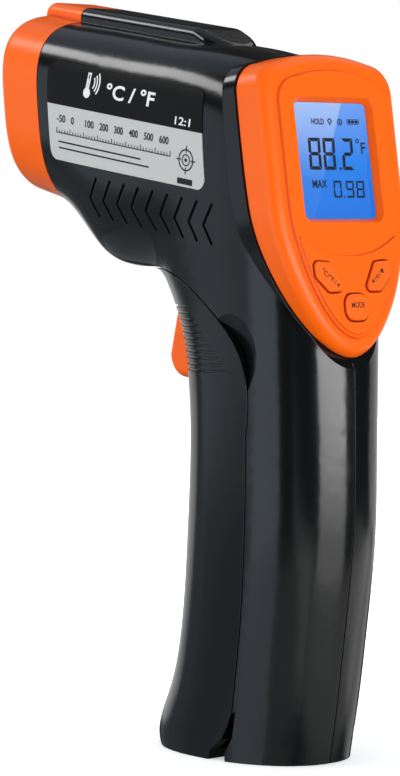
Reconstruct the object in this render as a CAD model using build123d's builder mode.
from build123d import *
from math import cos, pi, radians, sin
import os

# Infrared thermometer with a pistol grip.
# Frame: millimetres, +Z up, origin at the centre of the flat base, nose toward -X, display toward +X.

os.makedirs("parts", exist_ok=True)

# ---------------------------------------------------------------- driving dimensions
WALL = 2.2  # thickness of the moulded shells
FLOOR = 2.0  # thickness of the base plates
GAP = 0.25  # visible seam between neighbouring mouldings
FIT = 0.05  # radial clearance of a running fit
WIDE = 30.0  # more than half the width of the object, for cuts right across it

# Stations of the outer form, from the base up the handle and round to the nose:
# (front or lower edge x, z), (rear or upper edge x, z), half width, roundness, top-heavy taper
STATIONS = [
    ((-24.6, 0.0), (21.0, 0.0), 15.4, 2.2, 0.0),
    ((-24.4, 5.5), (22.1, 5.5), 15.6, 2.2, 0.0),
    ((-21.2, 12.0), (23.2, 12.0), 15.7, 2.2, 0.0),
    ((-17.4, 25.0), (25.1, 25.0), 15.8, 2.2, 0.0),
    ((-15.4, 45.0), (27.7, 45.0), 15.9, 2.2, 0.0),
    ((-14.4, 63.0), (28.1, 63.0), 15.9, 2.2, 0.0),
    ((-15.0, 77.0), (27.9, 80.0), 16.0, 2.25, 0.02),
    ((-17.0, 87.0), (27.5, 96.0), 16.3, 2.35, 0.03),
    ((-20.0, 94.5), (26.0, 115.0), 17.0, 2.6, 0.05),
    ((-23.5, 98.2), (20.0, 135.5), 17.8, 2.9, 0.07),
    ((-30.5, 99.3), (3.5, 143.6), 18.2, 3.2, 0.08),
    ((-38.5, 101.4), (-15.0, 146.6), 18.4, 3.2, 0.09),
    ((-45.5, 108.0), (-32.0, 149.3), 18.6, 3.1, 0.09),
    ((-52.5, 112.7), (-46.5, 151.5), 18.7, 3.1, 0.09),
    ((-58.5, 114.4), (-56.0, 153.1), 18.7, 3.1, 0.09),
    ((-64.5, 115.9), (-64.5, 154.4), 18.7, 3.1, 0.09),
]
OUTLINE_STEPS = 14  # steps round half of each station

# nose ring
NOSE_SEAM_X = -50.4
NOSE_END_X = -64.5
NOSE_EDGE_R = 3.2
RING_WALL = 3.0
PLATE_RECESS = 2.4

# sight tube, its distances measured back from the nose along the optical axis
BARREL_R = 8.4
BARREL_FRONT = 3.0
BARREL_REAR = 27.2
LENS_SEAT = 15.0
LENS_R = 6.0
LENS_THICKNESS = 2.0
SENSOR_R = 4.5

# laser housing on top of the head
BUMP_HALF_WIDTH = 6.9
BUMP_CREST_FRONT = (NOSE_END_X, 157.2)
BUMP_CREST_REAR = (-12.8, 149.2)
BUMP_FOOT = (-4.6, 144.9)
BUMP_EDGE_R = 2.2
BUMP_CREASE_R = 6.0

# display face, tilted back, with width along Y and height along the face
FACE_TILT = 9.1
FACE_ORIGIN = (23.45, 0.0, 121.5)
SHIELD_HALF_WIDTH = 18.6
SHIELD_TOP = 22.1  # heights along the face from its origin
SHIELD_WAIST = -8.0
SHIELD_TIP = -39.9
BEZEL_EDGE_R = 2.6
RIM_STEPS = 5
BEZEL_SKIN = 2.4
PLATEAU_STEP = 0.5
SCREEN_SIZE = (19.6, 23.4)
SCREEN_RECESS = 1.4
SCREEN_CORNER_R = 1.2
PAD_STEP = 0.3
PAD_ARC_R = 22.5
PAD_ARC_LOW = -19.5
BOARD_DEPTH = -8.2
BOARD_THICKNESS = 1.6
BOARD_SCREW_POINTS = [(-13.2, 10.5), (13.2, 10.5), (-13.2, -12.5), (13.2, -12.5)]
BOARD_BOSS_R = 1.9
BOARD_SCREW_R = 0.8
KEY_STEM_R = 1.2
KEY_EDGE_R = 0.5
KEY_HEIGHT = 0.9
KEY_CLEARANCE = 0.25

# surface details
ENGRAVING = 0.4
PARTING = 0.3
CHEVRON_COUNT = 9
CHEVRON_FIRST = (-34.6, 114.0)
CHEVRON_PITCH = (4.57, -0.69)
CHEVRON_WIDTH = 0.65
RIB_COUNT = 11
RIB_TOP_Z = 91.9
RIB_TOP_X = -5.3
RIB_PITCH = 1.29
RIB_GROOVE = 0.5
SCOOP = (9.5, 81.5)
SCOOP_R = 22.0
SCOOP_OFFSET_Y = 36.2
LABEL_THICKNESS = 0.15
LABEL_CORNER_R = 2.2

# fasteners: the screws go in from the right side
SCREW_R = 1.1
SCREW_HEAD_R = 2.4
SCREW_SEAT_Y = 4.0
SCREW_HEAD_HEIGHT = 1.8
SCREW_LENGTH = 10.5

# trigger and its pivot
TRIGGER_PIVOT = (-11.0, 92.5)
TRIGGER_HALF_WIDTH = 6.0
PIN_R = 1.25
SLOT_HALF_WIDTH = 6.6
TRIGGER_EDGE_R = 1.6
CHEEK_INNER_Y = 6.3
CHEEK_WIDTH = 1.5
SPRING_R = 1.9
SPRING_PITCH = 1.0
SPRING_WIRE_R = 0.3

# battery door and its hinge
HINGE = (5.0, 9.5)
HINGE_PIN_R = 1.0
HINGE_BARREL_R = 2.3
DOOR_GAP = 0.3
DOOR_FRONT_X = -23.6  # the door ends here below the head
LUG_INNER_Y = 6.3
LUG_WIDTH = 2.8
BARREL_INNER_Y = 9.4
HINGE_PIN_HALF = 12.0

# standard 9 V block battery, leaning back with the handle
BATTERY = (26.5, 17.5, 46.4)
BATTERY_FOOT = (1.3, 0.0, 14.3)
BATTERY_LEAN = 7.0
STUD_SPACING = 12.7
STUD_HEIGHT = 2.0
SNAP_HEIGHT = 3.6
LEAD_R = 0.6


# ---------------------------------------------------------------- shared shapes
def face_plane(depth):
    """Plane parallel to the display face, the given distance in front of it (negative is inside)."""
    tilt = radians(FACE_TILT)
    normal = Vector(cos(tilt), 0, sin(tilt))
    return Plane(origin=Vector(*FACE_ORIGIN) + normal * depth, x_dir=(0, 1, 0), z_dir=normal)


def station_plane(front, rear):
    """Plane across the body through a front and a rear edge point, its x axis from front to rear."""
    along = Vector(rear[0] - front[0], 0, rear[1] - front[1]).normalized()
    middle = Vector((front[0] + rear[0]) / 2, 0, (front[1] + rear[1]) / 2)
    return Plane(origin=middle, x_dir=along, z_dir=along.cross(Vector(0, 1, 0)))


def half_outline(half_length, half_width, roundness, taper):
    """Points of half a station, between an ellipse and a rectangle, wider toward its rear end."""
    points = []
    for step in range(OUTLINE_STEPS + 1):
        angle = pi * step / OUTLINE_STEPS
        reach = (abs(cos(angle)) ** roundness + abs(sin(angle)) ** roundness) ** (-1 / roundness)
        u = reach * cos(angle)
        v = reach * sin(angle)
        if step == OUTLINE_STEPS:
            v = 0
        points.append((half_length * u, half_width * (1 + taper * u) * v))
    return points


def body_form(inset):
    """Smooth form of head and handle in one, drawn in on all sides by the given amount."""
    with BuildPart() as form:
        for front, rear, half_width, roundness, taper in STATIONS:
            half_length = (Vector(*front) - Vector(*rear)).length / 2
            points = half_outline(half_length - inset, half_width - inset, roundness, taper)
            with BuildSketch(station_plane(front, rear)):
                with BuildLine():
                    Spline(*points, tangents=((0, 1), (0, -1)))
                    Line(points[-1], points[0])
                make_face()
        loft()
        mirror(about=Plane.XZ)
    return form.part


def side_region(*corners):
    """Prism right across the object over a straight-edged region of the side view."""
    with BuildPart() as region:
        with BuildSketch(Plane.XZ):
            with BuildLine():
                Polyline(*corners, close=True)
            make_face()
        extrude(amount=WIDE, both=True)
    return region.part


def shield_sketch(depth, grow):
    """Outline of the bezel at a depth of the display face, grown outward by the given amount."""
    across = 1 + grow / SHIELD_HALF_WIDTH
    above = 1 + grow / (SHIELD_TOP - SHIELD_WAIST)
    below = 1 + grow / (SHIELD_WAIST - SHIELD_TIP)

    def grown(y, height):
        factor = above if height > SHIELD_WAIST else below
        return (y * across, SHIELD_WAIST + (height - SHIELD_WAIST) * factor)

    with BuildSketch(face_plane(depth)) as shield:
        with BuildLine():
            Line(grown(SHIELD_HALF_WIDTH, SHIELD_WAIST), grown(SHIELD_HALF_WIDTH, 14.5))
            ThreePointArc(grown(SHIELD_HALF_WIDTH, 14.5), grown(17.2, 18.2), grown(13.2, 20.3))
            ThreePointArc(grown(13.2, 20.3), grown(0, SHIELD_TOP), grown(-13.2, 20.3))
            ThreePointArc(grown(-13.2, 20.3), grown(-17.2, 18.2), grown(-SHIELD_HALF_WIDTH, 14.5))
            Line(grown(-SHIELD_HALF_WIDTH, 14.5), grown(-SHIELD_HALF_WIDTH, SHIELD_WAIST))
            Spline(
                grown(-SHIELD_HALF_WIDTH, SHIELD_WAIST), grown(-17.6, -16.6), grown(-15.0, -24.5),
                grown(-10.8, -32.3), grown(-5.9, -37.6), grown(0, SHIELD_TIP), grown(5.9, -37.6),
                grown(10.8, -32.3), grown(15.0, -24.5), grown(17.6, -16.6),
                grown(SHIELD_HALF_WIDTH, SHIELD_WAIST),
                tangents=((0, -1), (0, 1)),
            )
        make_face()
    return shield.sketch


def shield_prism(bottom, top, bottom_grow, top_grow):
    """Shield-shaped prism between two depths of the display face, each end grown by its own amount."""
    ends = [shield_sketch(bottom, bottom_grow), shield_sketch(top, top_grow)]
    with BuildPart() as prism:
        add(ends)
        loft(ruled=True)
    return prism.part


def rear_region(shift):
    """Everything behind the curved seam between shells and bezel, seen from the side."""
    top = (13.0 + shift, 150.0)
    bottom = (29.3 + shift, 77.0)
    with BuildPart() as region:
        with BuildSketch(Plane.XZ):
            with BuildLine():
                Spline(
                    top, (13.6 + shift, 135.0), (14.7 + shift, 127.0), (16.0 + shift, 119.0),
                    (18.1 + shift, 109.0), (20.9 + shift, 99.0), (24.3 + shift, 89.0),
                    (27.3 + shift, 81.7), bottom,
                )
                Polyline(bottom, (50.0, 77.0), (50.0, 150.0), top)
            make_face()
        extrude(amount=WIDE, both=True)
    return region.part


def collar_region():
    """Side view of the raised black collar in front of the bezel seam."""
    top = (9.6, 150.0)
    bottom = (26.6, 80.0)
    with BuildPart() as region:
        with BuildSketch(Plane.XZ):
            with BuildLine():
                Spline(
                    top, (10.0, 135.0), (10.7, 126.0), (11.9, 117.0), (14.0, 108.5),
                    (17.3, 101.5), (21.0, 95.0), (24.5, 88.0), bottom,
                )
                Polyline(bottom, (50.0, 80.0), (50.0, 150.0), top)
            make_face()
        extrude(amount=WIDE, both=True)
    return region.part


def moved_out(points, gap):
    """Points of a line moved to its left, square to the line through their neighbours."""
    last = len(points) - 1
    moved = []
    for index, point in enumerate(points):
        before = points[max(index - 1, 0)]
        after = points[min(index + 1, last)]
        along = Vector(after[0] - before[0], after[1] - before[1]).normalized()
        moved.append((point[0] - along.Y * gap, point[1] + along.X * gap))
    return moved


def door_region(gap):
    """Side view of the battery door; the gap widens it to the opening left in the shells."""
    head = [
        (-27.0, 99.4), (-19.0, 99.4), (-12.5, 98.7), (-6.0, 96.6), (0.0, 93.2),
        (6.0, 88.7), (10.7, 83.4), (12.9, 77.0), (12.6, 66.0),
    ]
    grip = [(12.6, 66.0), (12.3, 48.0), (11.3, 33.0), (9.6, 20.0), (7.9, 9.9)]
    heel = [(7.9, 9.9), (6.6, 7.0), (5.0, 4.4), (1.8, 1.9), (1.2, 0.0), (1.2, -5.0), (-40.0, -5.0)]
    edge = moved_out(head[:-1] + grip + heel[1:], gap)
    waist = len(head) - 1
    apex = waist + len(grip) - 1
    with BuildPart() as region:
        with BuildSketch(Plane.XZ):
            with BuildLine():
                Spline(*edge[:waist + 1])
                Spline(*edge[waist:apex + 1])
                Polyline(*edge[apex:], (edge[-1][0], edge[0][1]), edge[0])
            make_face()
        extrude(amount=WIDE, both=True)
    return region.part


def rod(centre, radius, start_y, end_y):
    """Cylinder along Y at a point of the side view."""
    with BuildPart() as bar:
        with BuildSketch(Plane.XZ.offset(-start_y)):
            with Locations(centre):
                Circle(radius)
        extrude(amount=start_y - end_y)
    return bar.part


def block(low, high):
    """Box between two corners."""
    with BuildPart() as box:
        with Locations(tuple((a + b) / 2 for a, b in zip(low, high))):
            Box(*(b - a for a, b in zip(low, high)))
    return box.part


def finish(part, label, folder="parts"):
    """Name a finished piece and write it as its own STEP file."""
    part.label = label
    export_step(part, f"{folder}/{label}.step")


# ---------------------------------------------------------------- casing, before it is divided
OUTER = body_form(0)
CAVITY = body_form(WALL)

# laser housing: a long rounded bar that ends in a slope before the display
with BuildPart() as bump:
    with BuildSketch(Plane.XZ):
        with BuildLine():
            Polyline(
                BUMP_CREST_FRONT, BUMP_CREST_REAR, BUMP_FOOT, (BUMP_FOOT[0], 138.0),
                (NOSE_END_X, 146.0), close=True,
            )
        make_face()
    extrude(amount=BUMP_HALF_WIDTH, both=True)
    with BuildSketch(Plane.XY.offset(130)):
        with Locations((BUMP_FOOT[0] - BUMP_HALF_WIDTH, 0)):
            Circle(BUMP_HALF_WIDTH)
            Rectangle(80, 2 * BUMP_HALF_WIDTH, align=(Align.MAX, Align.CENTER))
    extrude(amount=40, mode=Mode.INTERSECT)
    crest = bump.faces().sort_by(Axis.Z)[-1]
    fillet(crest.edges().sort_by(Axis.X)[-1], BUMP_CREASE_R)
    upward = bump.faces().filter_by(lambda f: f.normal_at().Z > 0.5)
    fillet(ShapeList(set(upward.edges())).filter_by(lambda e: abs(e.center().Y) > 1), BUMP_EDGE_R)

# screw bosses and pegs stay standing inside the hollow: (x, z, radius)
SCREW_POINTS = [(-44.0, 116.5), (-20.0, 142.4), (2.0, 112.0), (21.0, 72.5), (16.5, 6.0)]
SCREW_BOSS_R = 3.7
PEG_POINTS = [(-12.0, 102.9), (-2.0, 102.9)]
PEG_R = 2.2

base_slab = block((-80, -WIDE, -1), (60, WIDE, FLOOR))
posts = [rod(point, SCREW_BOSS_R, -WIDE, WIDE) for point in SCREW_POINTS]
posts += [rod(point, PEG_R, -WIDE, WIDE) for point in PEG_POINTS]

with BuildPart() as hollow:
    add(CAVITY)
    add(base_slab, mode=Mode.SUBTRACT)
    add(posts, mode=Mode.SUBTRACT)

LASER_AXIS = Vector(-cos(radians(9.0)), 0, sin(radians(9.0)))
LASER_POINT = Vector(-62.0, 0, 151.6)
LASER_BORE_R = 3.6


def axis_plane(point, distance):
    """Plane across the optical direction, a distance forward of a point."""
    return Plane(origin=point + LASER_AXIS * distance, x_dir=(0, 1, 0), z_dir=LASER_AXIS)


with BuildPart() as laser_channel:
    with BuildSketch(axis_plane(LASER_POINT, 0)):
        Circle(LASER_BORE_R)
    extrude(amount=-24)

collar = shield_prism(-16, -4, 0.9, 0.3) & collar_region()
collar_bore = shield_prism(-18, 2, -2.4, -2.4)

with BuildPart() as case:
    add(OUTER)
    add(bump.part)
    add(collar)
    add(hollow.part, mode=Mode.SUBTRACT)
    add(laser_channel.part, mode=Mode.SUBTRACT)
    add(collar_bore, mode=Mode.SUBTRACT)


# ---------------------------------------------------------------- nose ring and what it holds
NOSE_CENTRE = Vector(NOSE_END_X, 0, 135.2)
front_half = block((-80, -WIDE, 90), (NOSE_SEAM_X, WIDE, 170))
ring_bore = body_form(RING_WALL) & block((-80, -WIDE, 90), (NOSE_SEAM_X + 1, WIDE, 170))

with BuildPart() as nose_ring:
    add(OUTER)
    add(bump.part)
    add(front_half, mode=Mode.INTERSECT)
    end_face = nose_ring.faces().sort_by(Axis.X)[0]
    fillet(end_face.outer_wire().edges(), NOSE_EDGE_R)
    add(ring_bore, mode=Mode.SUBTRACT)
    with BuildSketch(axis_plane(LASER_POINT, 8)):
        Circle(LASER_BORE_R)
    extrude(amount=-24, mode=Mode.SUBTRACT)
finish(nose_ring.part, "nose_ring")


# ---------------------------------------------------------------- shells
skin = OUTER - body_form(ENGRAVING)
shell_opening = door_region(DOOR_GAP)
heel_wedge = side_region((9.0, 10.6), (7.8, 5.0), (5.7, 1.5), (5.7, -1.0), (-8.0, -1.0), (-6.0, 0.0))
behind_seam = rear_region(-GAP / 2)
before_seam = block((-80, -WIDE, 90), (NOSE_SEAM_X + GAP, WIDE, 170))
parting_slit = block((-80, -PARTING / 2, -5), (60, PARTING / 2, 170)) & skin

# nine arrow grooves below the label, falling with the slope of the head
with BuildPart() as chevrons:
    with BuildSketch(Plane.XZ):
        for index in range(CHEVRON_COUNT):
            x = CHEVRON_FIRST[0] + index * CHEVRON_PITCH[0]
            z = CHEVRON_FIRST[1] + index * CHEVRON_PITCH[1]
            with BuildLine():
                Polyline((x + 3.0, z + 4.2), (x, z), (x + 2.4, z - 4.0))
            trace(line_width=CHEVRON_WIDTH)
    extrude(amount=WIDE, both=True)
    add(skin, mode=Mode.INTERSECT)

# shallow finger scoops beside the free edge of the battery door
with BuildPart() as scoops:
    with Locations((SCOOP[0], SCOOP_OFFSET_Y, SCOOP[1]), (SCOOP[0], -SCOOP_OFFSET_Y, SCOOP[1])):
        Sphere(SCOOP_R)

with BuildPart() as shell_pair:
    add(case.part)
    add([before_seam, behind_seam, shell_opening, heel_wedge], mode=Mode.SUBTRACT)
    add([chevrons.part, scoops.part, parting_slit], mode=Mode.SUBTRACT)

# lugs that carry the hinge pin of the door
with BuildPart() as lug:
    with BuildSketch(Plane.XZ.offset(LUG_INNER_Y)):
        with BuildLine():
            Polyline(
                (4.0, 7.6), (6.6, 4.8), (6.6, FLOOR / 2), (12.5, FLOOR / 2), (9.5, 7.0), (6.8, 11.2),
                close=True,
            )
        make_face()
        with Locations(HINGE):
            Circle(2.5)
            Circle(HINGE_PIN_R, mode=Mode.SUBTRACT)
    extrude(amount=LUG_WIDTH)


def half_shell(side):
    """One half of the casing: side is -1 for the left half and +1 for the right half."""
    far = side * WIDE
    keep = block((-80, min(0, far), -5), (60, max(0, far), 170))
    if side < 0:
        cuts = [rod(point, SCREW_R, 1, -8) for point in SCREW_POINTS]
        lug_part = lug.part
    else:
        cuts = [rod(point, SCREW_R + 0.2, -1, SCREW_SEAT_Y + 1) for point in SCREW_POINTS]
        cuts += [rod(point, SCREW_HEAD_R + 0.3, SCREW_SEAT_Y, WIDE) for point in SCREW_POINTS]
        lug_part = lug.part.mirror(Plane.XZ)
    with BuildPart() as half:
        add(shell_pair.part)
        add(keep, mode=Mode.INTERSECT)
        add(lug_part)
        add(cuts, mode=Mode.SUBTRACT)
    return half.part


left_shell = half_shell(-1)
finish(left_shell, "left_shell")
right_shell = half_shell(1)
finish(right_shell, "right_shell")

# ---------------------------------------------------------------- battery door
door_inside = CAVITY & side_region((-40, FLOOR), (40, FLOOR), (40, 110), (-40, 110))
trigger_slot = block((-40, -SLOT_HALF_WIDTH, 74.2), (-4, SLOT_HALF_WIDTH, 105))
under_head = block((-40, -WIDE, 96), (DOOR_FRONT_X, WIDE, 101))
barrels = [rod(HINGE, HINGE_BARREL_R, side * BARREL_INNER_Y, side * 13.8) for side in (-1, 1)]
hinge_bore = rod(HINGE, HINGE_PIN_R + FIT, -HINGE_PIN_HALF - 0.1, HINGE_PIN_HALF + 0.1)

with BuildPart() as grip_ribs:
    with BuildSketch(Plane.XZ):
        for index in range(RIB_COUNT):
            z = RIB_TOP_Z - index * RIB_PITCH
            with Locations((RIB_TOP_X + index * RIB_PITCH, z)):
                Rectangle(40, RIB_GROOVE, align=(Align.MAX, Align.CENTER))
    extrude(amount=WIDE, both=True)
    add(skin, mode=Mode.INTERSECT)

with BuildPart() as battery_door:
    add(OUTER)
    add(door_region(0), mode=Mode.INTERSECT)
    add([door_inside, trigger_slot, under_head], mode=Mode.SUBTRACT)
    add(barrels)
    add([hinge_bore, grip_ribs.part], mode=Mode.SUBTRACT)
finish(battery_door.part, "battery_door")

finish(rod(HINGE, HINGE_PIN_R, -HINGE_PIN_HALF, HINGE_PIN_HALF), "hinge_pin")


# ---------------------------------------------------------------- optics and laser in the nose
ring_inside = body_form(RING_WALL + FIT)

plate_slab = block((NOSE_END_X + PLATE_RECESS, -WIDE, 90), (NOSE_END_X + PLATE_RECESS + 2, WIDE, 170))

with BuildPart() as front_plate:
    add(ring_inside & plate_slab)
    with BuildSketch(axis_plane(NOSE_CENTRE, 10)):
        Circle(BARREL_R + FIT)
    extrude(amount=-30, mode=Mode.SUBTRACT)
    with BuildSketch(axis_plane(LASER_POINT, 10)):
        Circle(LASER_BORE_R + FIT)
    extrude(amount=-30, mode=Mode.SUBTRACT)
finish(front_plate.part, "front_plate")

# sight tube: a cone that opens forward, a seat for the lens and a bore for the sensor can
with BuildPart() as lens_barrel:
    with BuildSketch(axis_plane(NOSE_CENTRE, -BARREL_FRONT)):
        Circle(BARREL_R)
    extrude(amount=BARREL_FRONT - BARREL_REAR)
    with BuildSketch(axis_plane(NOSE_CENTRE, -7.0)):
        Circle(BARREL_R + 2.0)
    extrude(amount=-1.5)
    with BuildSketch(axis_plane(NOSE_CENTRE, -BARREL_FRONT)):
        Circle(BARREL_R - 0.8)
    with BuildSketch(axis_plane(NOSE_CENTRE, -LENS_SEAT)):
        Circle(LENS_R - 0.8)
    loft(mode=Mode.SUBTRACT)
    with BuildSketch(axis_plane(NOSE_CENTRE, -LENS_SEAT)):
        Circle(LENS_R + FIT)
    extrude(amount=-LENS_THICKNESS - FIT, mode=Mode.SUBTRACT)
    with BuildSketch(axis_plane(NOSE_CENTRE, -LENS_SEAT)):
        Circle(SENSOR_R + FIT)
    extrude(amount=LENS_SEAT - BARREL_REAR, mode=Mode.SUBTRACT)
finish(lens_barrel.part, "lens_barrel")

with BuildPart() as ir_lens:
    with BuildSketch(axis_plane(NOSE_CENTRE, -LENS_SEAT)):
        Circle(LENS_R)
    extrude(amount=-LENS_THICKNESS)
    fillet(ir_lens.edges().sort_by(Axis.X)[0], 0.5)
finish(ir_lens.part, "ir_lens")

with BuildPart() as thermopile_sensor:
    with BuildSketch(axis_plane(NOSE_CENTRE, -18.4)):
        Circle(SENSOR_R)
    extrude(amount=-5.6)
    with BuildSketch(axis_plane(NOSE_CENTRE, -24.0)):
        with PolarLocations(2.6, 4):
            Circle(0.25)
    extrude(amount=24.0 - BARREL_REAR)
finish(thermopile_sensor.part, "thermopile_sensor")

with BuildPart() as sensor_board:
    with BuildSketch(axis_plane(NOSE_CENTRE, -BARREL_REAR)):
        RectangleRounded(20, 17, 2)
    extrude(amount=-1.2)
finish(sensor_board.part, "sensor_board")

with BuildPart() as laser_module:
    with BuildSketch(axis_plane(LASER_POINT, -2)):
        Circle(3.2)
    extrude(amount=-12)
    with BuildSketch(axis_plane(LASER_POINT, -2)):
        Circle(1.4)
    extrude(amount=-2, mode=Mode.SUBTRACT)
finish(laser_module.part, "laser_module")

with BuildPart() as laser_holder:
    with BuildSketch(axis_plane(LASER_POINT, -3)):
        Circle(LASER_BORE_R - FIT)
        Circle(3.2 + FIT, mode=Mode.SUBTRACT)
    extrude(amount=-9)
finish(laser_holder.part, "laser_holder")

with BuildPart() as laser_window:
    with BuildSketch(axis_plane(LASER_POINT, 0)):
        Circle(LASER_BORE_R - FIT)
    extrude(amount=-1.2)
finish(laser_window.part, "laser_window")

# ---------------------------------------------------------------- display bezel and screen
bezel_hollow = shield_prism(-12, -BEZEL_SKIN, -2.0, -2.6)


def screen_outline(depth, grow):
    """Rounded rectangle of the screen opening at a depth of the face, grown by the given amount."""
    with BuildSketch(face_plane(depth)) as outline:
        RectangleRounded(SCREEN_SIZE[0] + 2 * grow, SCREEN_SIZE[1] + 2 * grow, SCREEN_CORNER_R + grow)
    return outline.sketch


def key_outline(name, depth, grow):
    """Outline of one of the three keys at a depth of the face."""
    with BuildSketch(face_plane(depth)) as outline:
        if name == "mode":
            with Locations((0, -29.7)):
                RectangleRounded(6.2 + 2 * grow, 5.4 + 2 * grow, 2.1 + grow)
        else:
            with BuildLine():
                Polyline(
                    (-10.4, -20.3), (-6.0, -20.6), (-2.6, -26.6), (-7.0, -26.6), (-10.2, -23.6), close=True
                )
            make_face()
            fillet(outline.vertices(), 1.1)
            if grow > 0:
                offset(amount=grow)
            if name == "right":
                mirror(about=Plane.YZ, mode=Mode.REPLACE)
    return outline.sketch


def face_prism(outline, height):
    """Prism on an outline of the display face, outward for a positive height."""
    return extrude(outline, amount=height, dir=face_plane(0).z_dir)


KEY_STEMS = {"left": (-6.6, -23.9), "right": (6.6, -23.9), "mode": (0.0, -29.7)}
key_holes = [face_prism(key_outline(name, 2, KEY_CLEARANCE), -16) for name in KEY_STEMS]
window_bevel = Solid.make_loft([screen_outline(0.1, 1.0).wire(), screen_outline(-SCREEN_RECESS, 0).wire()])
window_pocket = face_prism(screen_outline(-SCREEN_RECESS, 1.3), -4)
window_hole = face_prism(screen_outline(1, 0), -6)

pad_limit = shield_prism(-0.5, PAD_STEP, -4.6, -4.9)

# raised field of the keys, its upper edge a hollow arc
with BuildPart() as key_pad:
    with BuildSketch(face_plane(-0.5)):
        Rectangle(40, 40, align=(Align.CENTER, Align.MAX))
        with Locations((0, PAD_ARC_LOW + PAD_ARC_R)):
            Circle(PAD_ARC_R, mode=Mode.SUBTRACT)
    extrude(amount=0.5 + PAD_STEP)
    add(pad_limit, mode=Mode.INTERSECT)

# rounded rim: a drafted wall, then a quarter round made of shrinking outlines
RIM_GROW = -0.35
RIM_DEPTH = -PLATEAU_STEP - BEZEL_EDGE_R
round_sketches = []
for step in range(RIM_STEPS + 1):
    angle = radians(90 * step / RIM_STEPS)
    grow = RIM_GROW - BEZEL_EDGE_R * (1 - cos(angle))
    round_sketches.append(shield_sketch(RIM_DEPTH + BEZEL_EDGE_R * sin(angle), grow))
with BuildPart() as rim_round:
    add(round_sketches)
    loft()

rim_wall = shield_prism(-9, RIM_DEPTH, 0.3, RIM_GROW)
plateau = shield_prism(-2, 0, -3.4, -4.2)
bezel_side = rear_region(GAP / 2)

with BuildPart() as display_bezel:
    add([rim_wall, rim_round.part])
    add([plateau, key_pad.part])
    add(bezel_side, mode=Mode.INTERSECT)
    add([bezel_hollow, window_bevel, window_pocket, window_hole], mode=Mode.SUBTRACT)
    add(key_holes, mode=Mode.SUBTRACT)
    with BuildSketch(face_plane(BOARD_DEPTH)):
        with Locations(BOARD_SCREW_POINTS):
            Circle(BOARD_BOSS_R)
    extrude(amount=-BOARD_DEPTH - BEZEL_SKIN + 0.4)
    with BuildSketch(face_plane(BOARD_DEPTH)):
        with Locations(BOARD_SCREW_POINTS):
            Circle(BOARD_SCREW_R)
    extrude(amount=4.5, mode=Mode.SUBTRACT)
finish(display_bezel.part, "display_bezel")

finish(face_prism(screen_outline(-SCREEN_RECESS - 0.02, 1.2), -1.0), "screen_window")

with BuildPart() as lcd_module:
    with BuildSketch(face_plane(-2.5)):
        Rectangle(21.6, 27)
    extrude(amount=-2.6)
finish(lcd_module.part, "lcd_module")

with BuildPart() as backlight_panel:
    with BuildSketch(face_plane(-5.2)):
        Rectangle(21.6, 27)
    extrude(amount=-1.4)
finish(backlight_panel.part, "backlight_panel")

with BuildPart() as zebra_connectors:
    with BuildSketch(face_plane(BOARD_DEPTH)):
        with Locations((0, 12.3), (0, -12.3)):
            Rectangle(18, 1.8)
    extrude(amount=-BOARD_DEPTH - 6.6)
finish(zebra_connectors.part, "zebra_connectors")

board_blank = face_prism(shield_sketch(BOARD_DEPTH, -4.4), -BOARD_THICKNESS)

with BuildPart() as main_board:
    add(board_blank)
    with BuildSketch(face_plane(BOARD_DEPTH)):
        with Locations(BOARD_SCREW_POINTS):
            Circle(BOARD_SCREW_R + 0.15)
    extrude(amount=-BOARD_THICKNESS, mode=Mode.SUBTRACT)
finish(main_board.part, "main_board")

BOARD_BACK = BOARD_DEPTH - BOARD_THICKNESS

with BuildPart() as board_screws:
    with BuildSketch(face_plane(BOARD_BACK)):
        with Locations(BOARD_SCREW_POINTS):
            Circle(BOARD_SCREW_R)
    extrude(amount=BOARD_THICKNESS + 4.0)
    with BuildSketch(face_plane(BOARD_BACK)):
        with Locations(BOARD_SCREW_POINTS):
            Circle(1.7)
    extrude(amount=-1.1)
    with BuildSketch(face_plane(BOARD_BACK - 1.1)):
        with Locations(BOARD_SCREW_POINTS):
            Rectangle(2.2, 0.5)
            Rectangle(0.5, 2.2)
    extrude(amount=0.6, mode=Mode.SUBTRACT)
finish(board_screws.part, "board_screws")

with BuildPart() as controller_chip:
    with BuildSketch(face_plane(BOARD_BACK)):
        with Locations((0, 6)):
            Rectangle(9, 9)
    extrude(amount=-1.4)
finish(controller_chip.part, "controller_chip")

with BuildPart() as board_parts:
    with BuildSketch(face_plane(BOARD_BACK)):
        with Locations((-8.5, 8), (8.5, 8), (-7.5, -6), (7.5, -6)):
            Rectangle(3.2, 2.5)
        with GridLocations(4, 0, 4, 1):
            with Locations((0, -12)):
                Rectangle(1.6, 0.9)
    extrude(amount=-1.0)
finish(board_parts.part, "board_parts")

with BuildPart() as key_switches:
    with BuildSketch(face_plane(BOARD_DEPTH)):
        with Locations(*KEY_STEMS.values()):
            Rectangle(4.2, 4.2)
    extrude(amount=0.7)
    with BuildSketch(face_plane(BOARD_DEPTH + 0.7)):
        with Locations(*KEY_STEMS.values()):
            Circle(1.0)
    extrude(amount=0.25)
finish(key_switches.part, "key_switches")

seal_blank = face_prism(shield_sketch(-5.5, -4.6), 0.9)

with BuildPart() as keypad_seal:
    add(seal_blank)
    with BuildSketch(face_plane(-5.5)):
        with Locations((0, -19.6)):
            Rectangle(60, 60, align=(Align.CENTER, Align.MIN))
    extrude(amount=0.9, mode=Mode.SUBTRACT)
    with BuildSketch(face_plane(-5.5)):
        with Locations(*KEY_STEMS.values()):
            Circle(KEY_STEM_R + KEY_CLEARANCE)
    extrude(amount=0.9, mode=Mode.SUBTRACT)
finish(keypad_seal.part, "keypad_seal")

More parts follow.
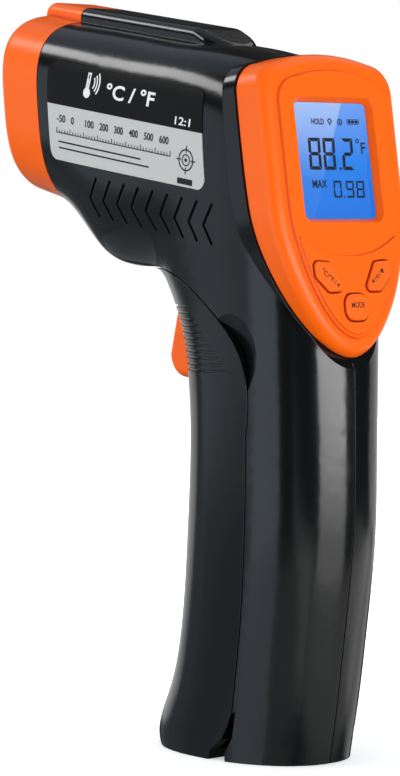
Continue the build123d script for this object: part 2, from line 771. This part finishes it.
# keys: a cap, a flange behind the bezel and a stem toward the switch
for name, stem in KEY_STEMS.items():
    cap = face_prism(key_outline(name, -3.3, 0), 3.3 + KEY_HEIGHT)
    flange = face_prism(key_outline(name, -3.3, 0.35), 0.8)
    with BuildPart() as key:
        add(cap)
        fillet(key.faces().sort_by(Axis(FACE_ORIGIN, face_plane(0).z_dir))[-1].edges(), KEY_EDGE_R)
        add(flange)
        with BuildSketch(face_plane(-3.3)):
            with Locations(stem):
                Circle(KEY_STEM_R)
        extrude(amount=3.3 + BOARD_DEPTH + 1.9)
    finish(key.part, f"button_{name}")

# ---------------------------------------------------------------- trigger group
spring_pocket = block((-15.5, -3.2, 86.0), (-4, 3.2, 100))
trigger_bore = rod(TRIGGER_PIVOT, PIN_R + FIT, -WIDE, WIDE)

with BuildPart() as trigger:
    with BuildSketch(Plane.XZ):
        with BuildLine():
            Line((-18.6, 96.6), (-22.35, 82.0))
            Spline(
                (-22.35, 82.0), (-21.5, 78.6), (-17.0, 76.6), tangents=((-0.25, -1), (1, 0.02))
            )
            Polyline(
                (-17.0, 76.6), (-12.6, 76.7), (-10.4, 83.0), (-8.0, 90.0), (-8.6, 95.2),
                (-13.5, 97.4), (-18.6, 96.6),
            )
        make_face()
    extrude(amount=TRIGGER_HALF_WIDTH, both=True)
    side_faces = trigger.faces().filter_by(Axis.Y)
    front_edges = side_faces.edges().filter_by(lambda e: e.center().X < -17.5)
    fillet(front_edges, TRIGGER_EDGE_R)
    add([spring_pocket, trigger_bore], mode=Mode.SUBTRACT)
finish(trigger.part, "trigger")

finish(rod(TRIGGER_PIVOT, PIN_R, -CHEEK_INNER_Y - CHEEK_WIDTH, CHEEK_INNER_Y + CHEEK_WIDTH), "trigger_pin")

# carrier: two cheeks on the pegs of the shells, joined by a bridge above the trigger
with BuildPart() as trigger_carrier:
    with BuildSketch(Plane.XZ.offset(CHEEK_INNER_Y)):
        with BuildLine():
            Polyline(
                (-12.7, 90.2), (-7.4, 88.8), (-7.4, 79.2), (0.0, 79.2), (2.6, 99.0), (2.0, 106.5),
                (-15.4, 106.5), (-15.4, 99.0), (-13.1, 92.0), close=True,
            )
        make_face()
        with Locations(TRIGGER_PIVOT):
            Circle(PIN_R, mode=Mode.SUBTRACT)
        with Locations(PEG_POINTS):
            Circle(PEG_R + FIT, mode=Mode.SUBTRACT)
    extrude(amount=CHEEK_WIDTH)
    mirror(about=Plane.XZ)
    with Locations((-6.7, 0, 105.9)):
        Box(17.4, 2 * CHEEK_INNER_Y, 1.2)
finish(trigger_carrier.part, "trigger_carrier")

with BuildPart() as trigger_switch:
    with Locations((-3.9, 0, 83.0)):
        Box(6.2, 2 * CHEEK_INNER_Y, 6.0)
    with Locations((-7.6, 0, 83.0)):
        Box(1.6, 2.2, 1.8)
finish(trigger_switch.part, "trigger_switch")

# return spring: three turns round the pin, drawn without its legs
with BuildPart() as trigger_spring:
    with BuildLine() as coil:
        Helix(
            SPRING_PITCH, 3 * SPRING_PITCH, SPRING_R,
            center=(TRIGGER_PIVOT[0], 1.5 * SPRING_PITCH, TRIGGER_PIVOT[1]), direction=(0, -1, 0),
        )
    with BuildSketch(Plane(origin=coil.line @ 0, z_dir=coil.line % 0)):
        Circle(SPRING_WIRE_R)
    sweep()
finish(trigger_spring.part, "trigger_spring")

# ---------------------------------------------------------------- battery and its fittings
lean = radians(BATTERY_LEAN)
BATTERY_AXIS = Vector(sin(lean), 0, cos(lean))
BATTERY_ACROSS = Vector(cos(lean), 0, -sin(lean))


def battery_plane(height):
    """Plane across the leaning battery, a height above its foot."""
    origin = Vector(*BATTERY_FOOT) + BATTERY_AXIS * height
    return Plane(origin=origin, x_dir=BATTERY_ACROSS, z_dir=BATTERY_AXIS)


stud_points = [(-STUD_SPACING / 2, 0), (STUD_SPACING / 2, 0)]

with BuildPart() as battery_9v:
    with BuildSketch(battery_plane(0)):
        RectangleRounded(BATTERY[0], BATTERY[1], 2.0)
    extrude(amount=BATTERY[2])
    with BuildSketch(battery_plane(BATTERY[2])):
        with Locations(stud_points[0]):
            Circle(2.9)
        with Locations(stud_points[1]):
            RegularPolygon(3.9, 6)
    extrude(amount=STUD_HEIGHT)
finish(battery_9v.part, "battery_9v")

with BuildPart() as battery_snap:
    with BuildSketch(battery_plane(BATTERY[2] + 0.1)):
        RectangleRounded(BATTERY[0] - 1.0, BATTERY[1] - 2.5, 3.0)
    extrude(amount=SNAP_HEIGHT)
    with BuildSketch(battery_plane(BATTERY[2] + 0.1)):
        with Locations(*stud_points):
            Circle(4.2)
    extrude(amount=STUD_HEIGHT, mode=Mode.SUBTRACT)
finish(battery_snap.part, "battery_snap")

with BuildPart() as battery_tray:
    with BuildSketch(battery_plane(-1.8)):
        with Locations((-8.0, 0)):
            Rectangle(22.9, 17.0, align=(Align.MIN, Align.CENTER))
    extrude(amount=1.6)
    with BuildSketch(battery_plane(-1.8)):
        with Locations((13.45, 0)):
            Rectangle(1.45, 17.0, align=(Align.MIN, Align.CENTER))
    extrude(amount=50)
finish(battery_tray.part, "battery_tray")

with BuildPart() as battery_foam_pad:
    with BuildSketch(battery_plane(16)):
        with Locations((-13.6, 0)):
            Rectangle(12, 12, align=(Align.MAX, Align.CENTER))
    extrude(amount=24)
    add(CAVITY, mode=Mode.INTERSECT)
finish(battery_foam_pad.part, "battery_foam_pad")

# socket of the battery leads on the back of the main board
with BuildPart() as battery_connector:
    with BuildSketch(face_plane(BOARD_BACK)):
        with Locations((0, -22.0)):
            Rectangle(8.0, 5.0)
    extrude(amount=-4.0)
finish(battery_connector.part, "battery_connector")

snap_top = battery_plane(BATTERY[2] + 0.1 + SNAP_HEIGHT)
socket_point = (face_plane(BOARD_BACK - 2.0) * Pos(0, -24.0, 0)).position
for name, side in {"battery_lead_red": -1, "battery_lead_black": 1}.items():
    y = side * 2.0
    start = snap_top.origin + BATTERY_ACROSS * 4.0
    with BuildPart() as lead:
        with BuildLine() as route:
            FilletPolyline(
                (start.X, y, start.Z), (start.X + 1.2, y, start.Z + 9.0),
                (socket_point.X, y, socket_point.Z - 9.0), (socket_point.X, y, socket_point.Z),
                radius=6.0,
            )
        with BuildSketch(Plane(origin=route.line @ 0, z_dir=route.line % 0)):
            Circle(LEAD_R)
        sweep()
    finish(lead.part, name)

with BuildPart() as piezo_buzzer:
    with BuildSketch(Plane.XZ.offset(12.4)):
        with Locations((-20.0, 125.0)):
            Circle(6.5)
    extrude(amount=2.6)
finish(piezo_buzzer.part, "piezo_buzzer")

# ---------------------------------------------------------------- screws and labels
with BuildPart() as case_screws:
    with BuildSketch(Plane.XZ.offset(-SCREW_SEAT_Y)):
        with Locations(SCREW_POINTS):
            Circle(SCREW_R)
    extrude(amount=SCREW_LENGTH)
    with BuildSketch(Plane.XZ.offset(-SCREW_SEAT_Y)):
        with Locations(SCREW_POINTS):
            Circle(SCREW_HEAD_R)
    extrude(amount=-SCREW_HEAD_HEIGHT)
    with BuildSketch(Plane.XZ.offset(-SCREW_SEAT_Y - SCREW_HEAD_HEIGHT)):
        with Locations(SCREW_POINTS):
            Rectangle(3.2, 0.7)
            Rectangle(0.7, 3.2)
    extrude(amount=1.0, mode=Mode.SUBTRACT)
finish(case_screws.part, "case_screws")

label_surface = body_form(-LABEL_THICKNESS)


def side_label(side, corners):
    """Thin label that follows the side of the head, with rounded corners."""
    with BuildPart() as label:
        with BuildSketch(Plane.XZ) as outline:
            with BuildLine():
                Polyline(*corners, close=True)
            make_face()
            fillet(outline.vertices(), LABEL_CORNER_R)
        extrude(amount=-side * WIDE)
        add(label_surface, mode=Mode.INTERSECT)
        add(OUTER, mode=Mode.SUBTRACT)
    return label.part


finish(side_label(-1, [(-46.4, 143.3), (2.4, 135.8), (3.2, 115.2), (-46.8, 122.5)]), "side_label_left")
finish(side_label(1, [(-44.0, 138.5), (-2.0, 132.0), (-2.0, 117.5), (-44.0, 123.5)]), "side_label_right")
